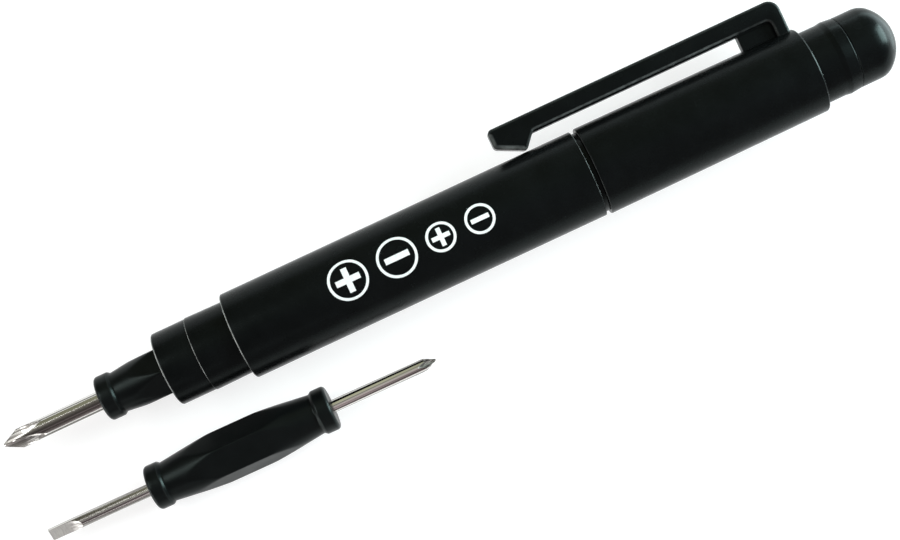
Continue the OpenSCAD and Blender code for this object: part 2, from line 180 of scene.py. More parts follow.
# a noise over Object coordinates; scale and stretch count waves in a metre
def noiseOf(tree, scale, stretch=(1, 1, 1), detail=3.0, rough=0.5):
    place = tree.nodes.new("ShaderNodeTexCoord")
    mapping = tree.nodes.new("ShaderNodeMapping")
    mapping.inputs["Scale"].default_value = stretch
    noise = tree.nodes.new("ShaderNodeTexNoise")
    noise.inputs["Scale"].default_value = scale
    noise.inputs["Detail"].default_value = detail
    noise.inputs["Roughness"].default_value = rough
    tree.links.new(place.outputs["Object"], mapping.inputs["Vector"])
    tree.links.new(mapping.outputs["Vector"], noise.inputs["Vector"])
    return noise.outputs["Fac"]


# a value spread over stops of (place, grey) or (place, colour)
def rampOf(tree, value, stops):
    ramp = tree.nodes.new("ShaderNodeValToRGB")
    tree.links.new(value, ramp.inputs["Fac"])
    while len(ramp.color_ramp.elements) < len(stops):
        ramp.color_ramp.elements.new(0.5)
    for element, (at, colour) in zip(ramp.color_ramp.elements, stops):
        element.position = at
        element.color = (*colour, 1) if isinstance(colour, tuple) else (colour, colour, colour, 1)
    return ramp.outputs["Color"]


# a noise spread from one grey or colour to another, between two of its levels
def spreadOf(tree, noise, low, high, levels=(0.3, 0.7)):
    return rampOf(tree, noise, [(levels[0], low), (levels[1], high)])


# from the first colour to the second by a factor; each is a fixed colour or another node's output
def mixOf(tree, factor, first, second):
    mix = tree.nodes.new("ShaderNodeMix")
    mix.data_type = "RGBA"
    tree.links.new(factor, mix.inputs["Factor"])
    for socket, value in (("A", first), ("B", second)):
        target = [s for s in mix.inputs if s.name == socket and s.type == "RGBA"][0]
        if isinstance(value, tuple):
            target.default_value = (*value, 1)
        else:
            tree.links.new(value, target)
    return [s for s in mix.outputs if s.type == "RGBA"][0]


# fine relief from a height, its full depth in metres
def bumpOf(tree, shader, height, strength, distance):
    bump = tree.nodes.new("ShaderNodeBump")
    bump.inputs["Strength"].default_value = strength
    bump.inputs["Distance"].default_value = distance
    tree.links.new(height, bump.inputs["Height"])
    tree.links.new(bump.outputs["Normal"], shader.inputs["Normal"])


# the mark that makePiece keeps on the points: on plastic, rubbed edges with a painted highlight along the
# rims; on steel, ground faces
def markOf(tree):
    mark = tree.nodes.new("ShaderNodeAttribute")
    mark.attribute_name = "mark"
    return mark.outputs["Fac"]


# two values joined by one operation
def mathOf(tree, operation, first, second):
    node = tree.nodes.new("ShaderNodeMath")
    node.operation = operation
    tree.links.new(first, node.inputs[0])
    tree.links.new(second, node.inputs[1])
    return node.outputs[0]


# moulded black plastic: faint cloudiness, a fine spark-eroded grain, and edges a little lighter, partly
# rubbed and partly a painted highlight along the rims
plastic = dict(dark=(0.0022, 0.0025, 0.0026), light=(0.0036, 0.0041, 0.0043), sheen=(0.8, 1.0, 0.96, 1),
               cloudScale=260, handledScale=700, handledLevels=(0.35, 0.65), leastHandled=0.45,
               satinScale=420, grainScale=5200, grainDepth=0.00002)


def plasticFinish(name, rimWearAndHighlight, roughness, grain, gloss):
    p = plastic
    material, tree, shader = newFinish(name, {"Specular IOR Level": gloss, "Specular Tint": p["sheen"]})
    body = spreadOf(tree, noiseOf(tree, p["cloudScale"], detail=4), p["dark"], p["light"])
    touch = noiseOf(tree, p["handledScale"], detail=2)
    handled = spreadOf(tree, touch, p["leastHandled"], 1.0, levels=p["handledLevels"])
    # the rims' mark mixes in the rubbed colour: partly wear, partly a painted highlight on the rims
    colour = mixOf(tree, mathOf(tree, "MULTIPLY", markOf(tree), handled), body, rimWearAndHighlight)
    tree.links.new(colour, shader.inputs["Base Color"])
    satin = spreadOf(tree, noiseOf(tree, p["satinScale"], detail=5), *roughness)
    tree.links.new(satin, shader.inputs["Roughness"])
    bumpOf(tree, shader, noiseOf(tree, p["grainScale"], detail=2), grain, p["grainDepth"])
    return material


blackPlastic = plasticFinish("blackPlastic", rimWearAndHighlight=(0.5, 0.52, 0.51), roughness=(0.22, 0.3),
                             grain=0.1, gloss=0.082)
clipPlastic = plasticFinish("clipPlastic", rimWearAndHighlight=(0.13, 0.138, 0.135), roughness=(0.22, 0.3),
                            grain=0.1, gloss=0.082)
gripPlastic = plasticFinish("gripPlastic", rimWearAndHighlight=(0.12, 0.13, 0.13), roughness=(0.28, 0.36),
                            grain=0.14, gloss=0.128)

# drawn steel: lines along the rod in colour, gloss and height, and matter ground faces where the mark is set
steel = dict(lineStretch=(2, 2700, 2700), lineLevels=(0.43, 0.56), lineRough=(0.3, 0.14), lineBump=0.45,
             lineDepth=0.0001, wheelStretch=(5200, 900, 900), wheelShade=0.8, groundRough=(0.8, 0.8, 0.8))


def steelFinish(name, dark, light, ground):
    s = steel
    material, tree, shader = newFinish(name, {"Metallic": 1.0})
    drawn = noiseOf(tree, 1, stretch=s["lineStretch"], detail=1, rough=0.6)
    wheel = noiseOf(tree, 1, stretch=s["wheelStretch"], detail=2)
    body = spreadOf(tree, drawn, dark, light, levels=s["lineLevels"])
    face = spreadOf(tree, wheel, tuple(s["wheelShade"] * v for v in ground), ground)
    tree.links.new(mixOf(tree, markOf(tree), body, face), shader.inputs["Base Color"])
    gloss = spreadOf(tree, drawn, *s["lineRough"])
    tree.links.new(mixOf(tree, markOf(tree), gloss, s["groundRough"]), shader.inputs["Roughness"])
    bumpOf(tree, shader, drawn, s["lineBump"], s["lineDepth"])
    return material


bladeSteel = steelFinish("bladeSteel", (0.13, 0.12, 0.11), (0.79, 0.78, 0.75), (0.56, 0.54, 0.52))
socketSteel = steelFinish("socketSteel", (0.4, 0.39, 0.37), (0.6, 0.59, 0.56), (0.5, 0.5, 0.5))


# soft black rubber and white ink: faint cloudiness and a grain four times finer
def plainFinish(name, dark, light, scale, roughness, grain=0.1):
    material, tree, shader = newFinish(name, {"Roughness": roughness})
    tree.links.new(spreadOf(tree, noiseOf(tree, scale), dark, light), shader.inputs["Base Color"])
    bumpOf(tree, shader, noiseOf(tree, 4 * scale), grain, plastic["grainDepth"])
    return material


blackRubber = plainFinish("blackRubber", (0.01, 0.01, 0.01), (0.018, 0.018, 0.018), scale=900, roughness=0.8)
whiteInk = plainFinish("whiteInk", (0.72, 0.73, 0.73), (0.84, 0.85, 0.85), scale=1800, roughness=0.6)
hiddenFinishes = {"hex_socket": socketSteel, "snap_ring": socketSteel, "friction_ring": blackRubber}
for nodeName, finish in hiddenFinishes.items():
    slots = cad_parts[nodeName].data.materials
    slots.clear()
    slots.append(finish)
print("finishes made")

# the front sleeve, nose and core tube
# a rim's last value is the strength of its wear and of its painted highlight
sleeve = dict(front=11.85, rear=69.66, outer=6.84, bore=5.53, rim=0.3, wearAndHighlight=0.9, rearRim=0.16, rearWearAndHighlight=0.225)
barrelSleeve = makePiece("barrelSleeve", [turnedShell([
    (sleeve["front"], sleeve["bore"], 0, 0),
    (sleeve["front"], sleeve["outer"], sleeve["rim"], sleeve["wearAndHighlight"]),
    (sleeve["rear"], sleeve["outer"], sleeve["rearRim"], sleeve["rearWearAndHighlight"]),
    (sleeve["rear"], sleeve["bore"], 0, 0)], litSideOnly=True)], blackPlastic)

noseTip = dict(rear=5.55, outer=5.79, mouth=4.25, lip=0.9, seat=4.72, rim=0.34, wearAndHighlight=0.8,
               mouthRim=0.12, rearRim=0.06)
noseRing = makePiece("noseRing", [turnedShell([
    (0, noseTip["mouth"], noseTip["mouthRim"], 0),
    (0, noseTip["outer"], noseTip["rim"], noseTip["wearAndHighlight"]),
    (noseTip["rear"], noseTip["outer"], noseTip["rearRim"], 0),
    (noseTip["rear"], noseTip["seat"], 0, 0),
    (noseTip["lip"], noseTip["seat"], 0, 0),
    (noseTip["lip"], noseTip["mouth"], 0, 0)], litSideOnly=True)], blackPlastic)

noseStep = dict(front=5.55, shoulder=11.85, rear=19.9, outer=5.9, rearOuter=5.79, neck=5.5, rim=0.18,
                wearAndHighlight=0.9, shoulderRim=0.05, bladeHole=1.65, endWall=18.7, collarBore=3.6,
                grooveFront=15.53, grooveRear=16.37, groove=4.3, socketRear=13)
noseBush = makePiece("noseBush", [turnedShell([
    (noseStep["front"], noseTip["seat"], 0, 0),
    (noseStep["front"], noseStep["outer"], noseStep["rim"], noseStep["wearAndHighlight"]),
    (noseStep["shoulder"], noseStep["rearOuter"], noseStep["shoulderRim"], 0),
    (noseStep["shoulder"], noseStep["neck"], 0, 0),
    (noseStep["rear"], noseStep["neck"], 0, 0),
    (noseStep["rear"], noseStep["bladeHole"], 0, 0),
    (noseStep["endWall"], noseStep["bladeHole"], 0, 0),
    (noseStep["endWall"], noseStep["collarBore"], 0, 0),
    (noseStep["grooveRear"], noseStep["collarBore"], 0, 0),
    (noseStep["grooveRear"], noseStep["groove"], 0, 0),
    (noseStep["grooveFront"], noseStep["groove"], 0, 0),
    (noseStep["grooveFront"], noseStep["collarBore"], 0, 0),
    (noseStep["socketRear"], noseStep["collarBore"], 0, 0),
    (noseStep["socketRear"], noseTip["seat"], 0, 0)], litSideOnly=True)], blackPlastic)

core = dict(front=19.9, rear=84.0, outer=5.5, store=4.35, storeFront=36.5, chamber=2.6, chamberRear=35.2,
            stopFront=69.68, stopRear=70.34, stop=6.36, stopRim=0.04, storeRim=0.3, mouthRim=0.2,
            rim=0.4, wearAndHighlight=0.3)
coreTube = makePiece("coreTube", [turnedShell([
    (core["storeFront"], 0, 0, 0),
    (core["storeFront"], core["store"], core["storeRim"], 0),
    (core["rear"], core["store"], core["mouthRim"], 0),
    (core["rear"], core["outer"], core["rim"], core["wearAndHighlight"]),
    (core["stopRear"], core["outer"], 0, 0),
    (core["stopRear"], core["stop"], core["stopRim"], 0),
    (core["stopFront"], core["stop"], core["stopRim"], 0),
    (core["stopFront"], core["outer"], 0, 0),
    (core["front"], core["outer"], 0, 0),
    (core["front"], core["chamber"], 0, 0),
    (core["chamberRear"], core["chamber"], 0, 0),
    (core["chamberRear"], 0, 0, 0)], closed=False)], blackPlastic)

# the cap with its draft, the groove for the friction ring, the tail's neck and the dome
# a rim's last value is the strength of its wear and of its painted highlight
capShape = dict(front=70.4, rear=106.4, frontR=6.95, rearR=6.71, bore=5.55, boreRim=0.15, rim=0.16,
                frontWearAndHighlight=0.0875, facet=0.19, facetDrop=0.133, facetRim=0.04, wearAndHighlight=0.35,
                grooveFront=75.95, grooveRear=77.55, groove=6.15)
capSleeve = makePiece("capSleeve", [turnedShell([
    (capShape["front"], capShape["bore"], capShape["boreRim"], 0),
    (capShape["front"], capShape["frontR"], capShape["rim"], capShape["frontWearAndHighlight"]),
    (capShape["rear"] - capShape["facet"], capShape["rearR"], capShape["facetRim"], 0),
    (capShape["rear"], capShape["rearR"] - capShape["facetDrop"], capShape["facetRim"], capShape["wearAndHighlight"]),
    (capShape["rear"], capShape["bore"], 0, 0),
    (capShape["grooveRear"], capShape["bore"], 0, 0),
    (capShape["grooveRear"], capShape["groove"], 0, 0),
    (capShape["grooveFront"], capShape["groove"], 0, 0),
    (capShape["grooveFront"], capShape["bore"], 0, 0)])], blackPlastic)

neck = dict(front=100.5, shoulder=106.4, rear=112.4, plug=5.53, plugRim=0.2, outer=5.73, seatRim=0.03,
            waist=5.71, waistU=109.8, waistRim=0.6, bead=5.85, beadU=110.6, beadRim=0.4,
            rearOuter=5.69, facet=0.17, facetDrop=0.119, facetRim=0.03, wearAndHighlight=0.35,
            hollow=4.35, hollowEnd=110.2, hollowRim=0.4, mouthRim=0.1)
tailNeck = makePiece("tailNeck", [turnedShell([
    (neck["hollowEnd"], 0, 0, 0),
    (neck["hollowEnd"], neck["hollow"], neck["hollowRim"], 0),
    (neck["front"], neck["hollow"], neck["mouthRim"], 0),
    (neck["front"], neck["plug"], neck["plugRim"], 0),
    (neck["shoulder"], neck["plug"], 0, 0),
    (neck["shoulder"], neck["outer"], neck["seatRim"], 0),
    (neck["waistU"], neck["waist"], neck["waistRim"], 0),
    (neck["beadU"], neck["bead"], neck["beadRim"], 0),
    (neck["rear"] - neck["facet"], neck["rearOuter"], neck["facetRim"], 0),
    (neck["rear"], neck["rearOuter"] - neck["facetDrop"], neck["facetRim"], neck["wearAndHighlight"]),
    (neck["rear"], 0, 0, 0)], closed=False)], blackPlastic)

# the dome's line: a shoulder arc that runs on into a flatter crown arc, ending on the axis
dome = dict(front=112.4, end=119.9, outer=5.67, shoulder=3.2, crown=6.47, edge=0.1,
            shoulderSteps=26, crownSteps=18)
crownU = dome["end"] - dome["crown"]
shoulderR = dome["outer"] - dome["shoulder"]
shoulderU = crownU + math.sqrt((dome["crown"] - dome["shoulder"]) ** 2 - shoulderR ** 2)
meet = math.atan2(shoulderU - crownU, shoulderR)
turn = np.linspace(0, meet, dome["shoulderSteps"])
crownTurn = np.linspace(meet, np.pi / 2, dome["crownSteps"])[1:]
domeLine = np.concatenate([
    [[dome["front"], 0],
     [dome["front"], dome["outer"] - dome["edge"]],
     [dome["front"] + dome["edge"], dome["outer"]]],
    np.stack([shoulderU + dome["shoulder"] * np.sin(turn),
              shoulderR + dome["shoulder"] * np.cos(turn)], axis=1),
    np.stack([crownU + dome["crown"] * np.sin(crownTurn),
              dome["crown"] * np.cos(crownTurn)], axis=1)])
domeFaces = gridQuads(len(domeLine), len(fullTurn))
tailDome = makePiece("tailDome", [(roundAxis(domeLine), domeFaces, 0)], blackPlastic)
print("turned pieces made")


# an outline in u and radius, carried through the clip's width; near both faces it is drawn in along its
# normal, so that the edges are round, and a mark of wear and painted highlight follows the middle of that
# rounding;
# a shape gives levels between the faces, a bend of the points, and how far each edge is drawn in and how much
# wear and painted highlight it takes
def outlineShell(outline, width, edge, step, shape=None):
    line = closeSteps(outline, step)
    ahead = np.roll(line, -1, axis=0) - line
    ahead /= np.linalg.norm(ahead, axis=1, keepdims=True)
    ahead = ahead + np.roll(ahead, 1, axis=0)
    normal = np.stack([ahead[:, 1], -ahead[:, 0]], axis=1)
    normal /= np.linalg.norm(normal, axis=1, keepdims=True)
    area = (line[:, 0] * np.roll(line[:, 1], -1) - line[:, 1] * np.roll(line[:, 0], -1)).sum()
    normal *= np.sign(area)
    bend = np.linspace(0, np.pi / 2, meshing["edgeSteps"])
    drawn = edge * (1 - np.cos(bend))
    out = width / 2 - edge + edge * np.sin(bend)
    between, softness, edgeWearAndHighlight = np.zeros(1), np.ones(len(line)), np.zeros(len(line))
    if shape:
        between = shape["levels"]
        softness, edgeWearAndHighlight = shape["edges"](line, normal)
    z = np.concatenate([-out[::-1], between, out])
    inset = np.concatenate([drawn[::-1], 0 * between, drawn])
    edgeMark = np.concatenate([np.sin(2 * bend)[::-1], 0 * between, np.sin(2 * bend)])[:, None] * edgeWearAndHighlight
    at = line[None] - normal[None] * (inset[:, None] * softness)[..., None]
    if shape:
        at = shape["bend"](at, z)
    grid = np.stack([noseX + at[..., 0], axisY + at[..., 1], axisZ + z[:, None] + 0 * at[..., 0]], axis=-1)
    cols, rows = len(line), len(z)
    faces = gridQuads(rows, cols).tolist()
    faces += [list(range(cols)), list(range((rows - 1) * cols, rows * cols))]
    return grid, faces, edgeMark


# the clip: arm, tip with its ramp and bump, and rear leg in one moulding, with a narrower rib under the arm;
# a gusset of its own stands between the leg and the cap
clip = dict(tip=58.4, outer=12.04, inner=9.26, front=9.08, bumpU=62.84, bump=6.94, bumpRear=64.85,
            legFront=103.8, legRear=105.85, foot=6.1, width=4.0, edge=0.42, step=0.6,
            tipRound=0.75, frontRound=0.8, bumpRound=0.6, bumpRearRound=0.5, legRound=0.9, footRound=0.5,
            corner=1.85, rib=8.99, ribWidth=2.4, ribWall=0.04, ribMargin=0.25, ribSpare=0.3, legSpare=0.2,
            tipFade=0.8, tipFacing=0.6, tipSoft=0.7, tipWearAndHighlight=1.0, armFacing=-0.8, armWearAndHighlight=0.8, otherWearAndHighlight=0.24)
gusset = dict(front=98.4, rear=104.6, foot=6.0, top=9.15, width=2.0, edge=0.12, round=0.15, step=0.6)
ribHalf = clip["ribWidth"] / 2
ribSide = np.array([ribHalf / 2, ribHalf, ribHalf + clip["ribWall"], ribHalf + clip["ribMargin"]])
ribLevels = np.concatenate([-ribSide[::-1], [0], ribSide])


# the arm's underside goes down to the rib's face over the rib's width
def withRib(at, z):
    share = np.clip((ribHalf + clip["ribWall"] - np.abs(z)) / clip["ribWall"], 0, 1)[:, None]
    under = (at[..., 0] > clip["bumpU"]) & (at[..., 0] < clip["legFront"] + clip["legSpare"])
    under &= (at[..., 1] > clip["rib"]) & (at[..., 1] < clip["inner"] + clip["ribSpare"])
    lowered = np.where(under, clip["rib"], at[..., 1])
    return np.stack([at[..., 0], at[..., 1] + (lowered - at[..., 1]) * share], axis=-1)


# the tip's front and ramp have rounder edges; these and the arm's inner edge, to the gusset, carry the most
# wear and painted highlight
def clipEdges(line, normal):
    nearTip = np.clip((clip["bumpU"] + clip["tipFade"] / 2 - line[:, 0]) / clip["tipFade"], 0, 1)
    tipShare = nearTip * np.clip((clip["tipFacing"] - normal[:, 1]) / clip["tipFacing"], 0, 1)
    underArm = (normal[:, 1] < clip["armFacing"]) & (line[:, 0] < gusset["front"])
    edgeWearAndHighlight = np.where(underArm, clip["armWearAndHighlight"], clip["otherWearAndHighlight"])
    return 1 + clip["tipSoft"] * tipShare, np.maximum(edgeWearAndHighlight, clip["tipWearAndHighlight"] * tipShare)


clipOutline, _ = roundedLine([
    (clip["tip"], clip["outer"], clip["tipRound"], 0),
    (clip["tip"], clip["front"], clip["frontRound"], 0),
    (clip["bumpU"], clip["bump"], clip["bumpRound"], 0),
    (clip["bumpRear"], clip["inner"], clip["bumpRearRound"], 0),
    (clip["legFront"], clip["inner"], clip["legRound"], 0),
    (clip["legFront"], clip["foot"], clip["footRound"], 0),
    (clip["legRear"], clip["foot"], clip["footRound"], 0),
    (clip["legRear"], clip["outer"], clip["corner"], 0)])
pocketClip = makePiece("pocketClip", [outlineShell(
    clipOutline, clip["width"], clip["edge"], clip["step"],
    shape=dict(levels=ribLevels, bend=withRib, edges=clipEdges))], clipPlastic)

gussetOutline, _ = roundedLine([
    (gusset["front"], gusset["foot"], gusset["round"], 0),
    (gusset["rear"], gusset["foot"], gusset["round"], 0),
    (gusset["rear"], gusset["top"], gusset["round"], 0),
    (gusset["front"], gusset["top"], gusset["round"], 0)])
clipGusset = makePiece("clipGusset", [outlineShell(
    gussetOutline, gusset["width"], gusset["edge"], gusset["step"])], clipPlastic)
print("clip made")


# a grip along z: two round-edged collars and a double cone whose radius gives way to six flats,
# by a soft minimum of the cone's radius and the hexagon's
# the collars' last value is the strength of their wear and painted highlight
gripShape = dict(collar=3.54, collarWidth=2.2, round=0.6, backRound=0.5, wearAndHighlight=0.12, shoulder=0.45,
                 neck=3.16, neckRound=0.4, middle=4.67, middleRound=6.0, hexPower=140, joinPower=110,
                 step=0.45, steps=180)


def gripShell(bore, length, flats, flatTurn):
    g = gripShape
    end, half = g["collarWidth"], length / 2
    oneSide = [(0, bore, 0, 0),
               (0, g["collar"], g["round"], g["wearAndHighlight"]),
               (end, g["collar"], g["backRound"], g["wearAndHighlight"]),
               (end + g["shoulder"], g["neck"], g["neckRound"], 0)]
    otherSide = [(length - z, r, c, w) for z, r, c, w in reversed(oneSide)]
    line, mark = roundedLine(oneSide + [(half, g["middle"], g["middleRound"], 0)] + otherSide)
    dense = closeSteps(line, g["step"])
    run = np.concatenate([[0], np.cumsum(np.linalg.norm(np.diff(line, axis=0), axis=1))])
    denseRun = np.concatenate([[0], np.cumsum(np.linalg.norm(np.diff(dense, axis=0), axis=1))])
    mark = np.interp(denseRun, run, mark)
    around = np.linspace(0, 2 * np.pi, g["steps"], endpoint=False)
    facing = np.cos(around[:, None] - math.radians(flatTurn) - np.arange(6) * np.pi / 3)
    hexagon = flats / (np.maximum(facing, 0) ** g["hexPower"]).sum(1) ** (1 / g["hexPower"])
    z, r = dense[:, :1], dense[:, 1:]
    cut = (r ** -g["joinPower"] + hexagon ** -g["joinPower"]) ** (-1 / g["joinPower"])
    local = np.stack([cut * np.cos(around), cut * np.sin(around), z - half + 0 * around], axis=-1)
    return local, gridQuads(len(dense), g["steps"], wrapRows=True), mark[:, None]


# points of a plane turned about its middle
def spun(points, angle):
    c, n = math.cos(angle), math.sin(angle)
    x, y = points[..., 0], points[..., 1]
    return np.stack([c * x - n * y, n * x + c * y], axis=-1)


# rings of points, each at its height z, that close on the axis at both ends
def closedRod(ring, z):
    local = np.concatenate([ring, z[:, None, None] + 0 * ring[..., :1]], axis=-1)
    return np.concatenate([local[:1] * [0, 0, 1], local, local[-1:] * [0, 0, 1]])


# a cross point along z: a cone that runs into the shank, with four hollow flutes whose floor climbs along z;
# each ring is four wing arcs joined by flute walls, second-degree curves that meet on the flute's floor
pointShape = dict(blunt=0.14, cone=26.5, fluteCore=0.1, wallAngle=52, thinnest=0.035, hollow=0.8,
                  fluteMark=0.22, arcSteps=10, wallSteps=9, rows=70)


def crossShell(radius, length, roll, flute):
    s = pointShape
    fluteEnd = flute["length"] * 2 * radius
    z = np.concatenate([np.linspace(0, fluteEnd, s["rows"]), [length]])
    outer = np.minimum(radius, s["blunt"] * radius + z * math.tan(math.radians(s["cone"])))
    share = np.minimum(z / fluteEnd, 1)
    floor = np.minimum(radius * (s["fluteCore"] + (1 - s["fluteCore"]) * share ** flute["climb"]), outer)
    beta = math.radians(s["wallAngle"])
    reach = -floor * math.cos(beta) + np.sqrt(np.maximum(outer ** 2 - (floor * math.sin(beta)) ** 2, 0))
    fluteHalf = np.arctan2(reach * math.sin(beta), floor + reach * math.cos(beta))
    wing = np.minimum(np.maximum(np.pi / 4 - fluteHalf, s["thinnest"] * radius / outer), np.pi / 4)
    wing = np.where(share >= 1, np.pi / 4, wing)
    floor = np.where(share >= 1, outer, floor)
    swing = wing[:, None] * np.linspace(-1, 1, s["arcSteps"] + 1)
    arc = outer[:, None, None] * np.stack([np.cos(swing), np.sin(swing)], axis=-1)
    corner = (floor / math.sqrt(2))[:, None, None] * np.ones(2)
    leave = arc[:, -1:]
    level = np.minimum(2 * corner[..., :1] - leave[..., 1:], leave[..., :1])
    straight = (leave + corner) / 2
    pull = straight + s["hollow"] * (np.concatenate([level, leave[..., 1:]], axis=-1) - straight)
    k = (np.arange(1, s["wallSteps"] + 1) / s["wallSteps"])[None, :, None]
    down = (1 - k) ** 2 * leave + 2 * k * (1 - k) * pull + k ** 2 * corner
    up = down[:, -2::-1, ::-1]
    quarter = np.concatenate([arc, down, up], axis=1)
    ground = np.concatenate([np.zeros(s["arcSteps"] + 1), np.full(2 * s["wallSteps"] - 1, s["fluteMark"])])
    ring = np.concatenate([spun(quarter, math.radians(roll) + q * np.pi / 2) for q in range(4)], axis=1)
    local = closedRod(ring, z)
    marks = np.tile(ground, 4)[None, :] * np.concatenate([[1], share < 1, [0]])[:, None]
    return local, gridQuads(len(local), local.shape[1]), marks


# a slotted tip along z: a round shank cut by two ground flats that run out along a parabola
slotShape = dict(tipHalf=0.2, taper=0.035, flatLength=1.5, runLength=1.1, fade=0.75,
                 flatSteps=8, arcSteps=28, tipRows=8, rows=46)


def slotShell(radius, length, roll):
    s = slotShape
    flatEnd, runEnd = 2 * radius * s["flatLength"], 2 * radius * (s["flatLength"] + s["runLength"])
    tipZ, runZ = np.linspace(0, flatEnd, s["tipRows"])[:-1], np.linspace(flatEnd, runEnd, s["rows"])
    z = np.concatenate([tipZ, runZ, [length]])
    climb = np.clip((z - flatEnd) / (runEnd - flatEnd), 0, 1)
    flat = radius * s["tipHalf"] + s["taper"] * np.minimum(z, flatEnd)
    half = flat + (radius - flat) * climb ** 2
    wide = np.sqrt(np.maximum(radius ** 2 - half ** 2, 0))
    across = np.linspace(-1, 1, s["flatSteps"] + 1)
    begin = np.arctan2(wide, half)[:, None]
    sweep = begin + (np.pi - 2 * begin) * (np.arange(1, s["arcSteps"]) / s["arcSteps"])
    top = np.stack([half[:, None] + 0 * across, wide[:, None] * across], axis=-1)
    side = radius * np.stack([np.cos(sweep), np.sin(sweep)], axis=-1)
    ring = spun(np.concatenate([top, side, -top, -side], axis=1), math.radians(roll))
    local = closedRod(ring, z)
    ground = np.concatenate([np.ones(s["flatSteps"] + 1), np.zeros(s["arcSteps"] - 1)])
    fade = (1 - s["fade"] * climb) * (z < runEnd)
    marks = np.tile(ground, 2)[None, :] * np.concatenate([[1], fade, [0]])[:, None]
    return local, gridQuads(len(local), local.shape[1]), marks


# one bit: its grip about a centre, with a cross point one way along its axis and a slotted tip the other way
bitMake = dict(bite=0.05, middleGap=0.1, bladeSharp=24)


def makeBit(name, centre, alongCross, bit):
    alongCross, upward, half = np.array(alongCross, float), (0, 0, 1), bit["length"] / 2
    inside = half - bitMake["middleGap"]
    bore = bit["radius"] - bitMake["bite"]
    shell, faces, mark = gripShell(bore, bit["length"], bit["flats"], bit["flatTurn"])
    grip = makePiece(name + "Grip", [(laid(shell, centre, alongCross, upward), faces, mark)], gripPlastic)
    crossEnd = crossShell(bit["radius"], bit["cross"] + inside, bit["crossRoll"], bit["flute"])
    slotEnd = slotShell(bit["radius"], bit["slot"] + inside, bit["slotRoll"])
    ends = []
    for way, out, (shell, faces, mark) in ((1, bit["cross"], crossEnd), (-1, bit["slot"], slotEnd)):
        tip = np.array(centre) + alongCross * way * (half + out)
        ends.append((laid(shell, tip, -way * alongCross, upward), faces, mark))
    blade = makePiece(name + "Blade", ends, bladeSteel, sharpAngle=bitMake["bladeSharp"])
    return grip, blade


driverBit = dict(length=29.3, out=10.65, radius=1.5, cross=16.3, slot=16.25, flats=3.56, flatTurn=30,
                 crossRoll=0, slotRoll=28, flute=dict(length=2.27, climb=3.0))
driverCentre = (noseX + driverBit["length"] / 2 - driverBit["out"], axisY, axisZ)
driverGrip, driverBlade = makeBit("driver", driverCentre, (-1, 0, 0), driverBit)
spareBit = dict(length=30.1, turn=0.51, radius=1.0, cross=17.2, slot=16.85, flats=3.65, flatTurn=9,
                crossRoll=45, slotRoll=28, flute=dict(length=1.5, climb=1.3), move=(-0.08, 0.19, 0.37))
spareCentre = np.array([spareX, spareY, spareZ]) + spareBit["move"]
spareWay = (math.cos(math.radians(spareBit["turn"])), -math.sin(math.radians(spareBit["turn"])), 0)
spareGrip, spareBlade = makeBit("spare", spareCentre, spareWay, spareBit)
print("bits made")

# a white print on the barrel: a row of plain screw heads, two sizes of cross and slot;
# an arm's reach and a bar's width are shares of a head's size
prints = dict(centre=40.9, turn=5.0, heads=((6.2, True), (6.2, False), (4.6, True), (4.6, False)), gap=1.7,
              line=0.42, arm=0.31, bar=0.15, lift=0.012, sunk=0.03, ringSteps=96, barSteps=9)
inkHeight = np.array([-prints["sunk"], prints["lift"], prints["lift"], -prints["sunk"]])


# flat print coordinates, p along the handle and q round it, wrapped onto the barrel at a height
def onBarrel(p, q, height):
    angle = math.radians(prints["turn"]) + q / sleeve["outer"]
    r = sleeve["outer"] + height
    return np.stack([noseX + p + 0 * q, axisY + r * np.sin(angle), axisZ + r * np.cos(angle)], axis=-1)


# a ring is a four-cornered section carried round a circle
def printedRing(centre, outer):
    circle = np.linspace(0, 2 * np.pi, prints["ringSteps"], endpoint=False)[:, None]
    radius = np.array([outer, outer, outer - prints["line"], outer - prints["line"]])
    grid = onBarrel(centre + radius * np.cos(circle), radius * np.sin(circle), inkHeight + 0 * circle)
    return grid, gridQuads(*grid.shape[:2], wrapRows=True), 0


# a bar is a four-cornered section carried along its length, closed at both ends
def printedBar(fromP, toP, middleQ, wide):
    p = np.array([fromP, fromP, toP, toP])
    q = middleQ + wide * np.linspace(-0.5, 0.5, prints["barSteps"])[:, None]
    grid = onBarrel(p + 0 * q, q + 0 * p, inkHeight + 0 * q)
    rows, cols = grid.shape[:2]
    ends = [list(range(cols)), list(range((rows - 1) * cols, rows * cols))]
    return grid, gridQuads(rows, cols).tolist() + ends, 0


printLength = sum(size for size, _ in prints["heads"]) + (len(prints["heads"]) - 1) * prints["gap"]
heads, start = [], prints["centre"] - printLength / 2
for size, crossed in prints["heads"]:
    middle, arm, bar = start + size / 2, prints["arm"] * size, prints["bar"] * size
    heads.append(printedRing(middle, size / 2))
    heads.append(printedBar(middle - arm, middle + arm, 0, bar))
    if crossed:
        middleQ, reach = (arm + bar / 2) / 2, arm - bar / 2
        for side in (1, -1):
            heads.append(printedBar(middle - bar / 2, middle + bar / 2, side * middleQ, reach))
    start += size + prints["gap"]
barrelPrint = makePiece("barrelPrint", heads, whiteInk)
print("print made")

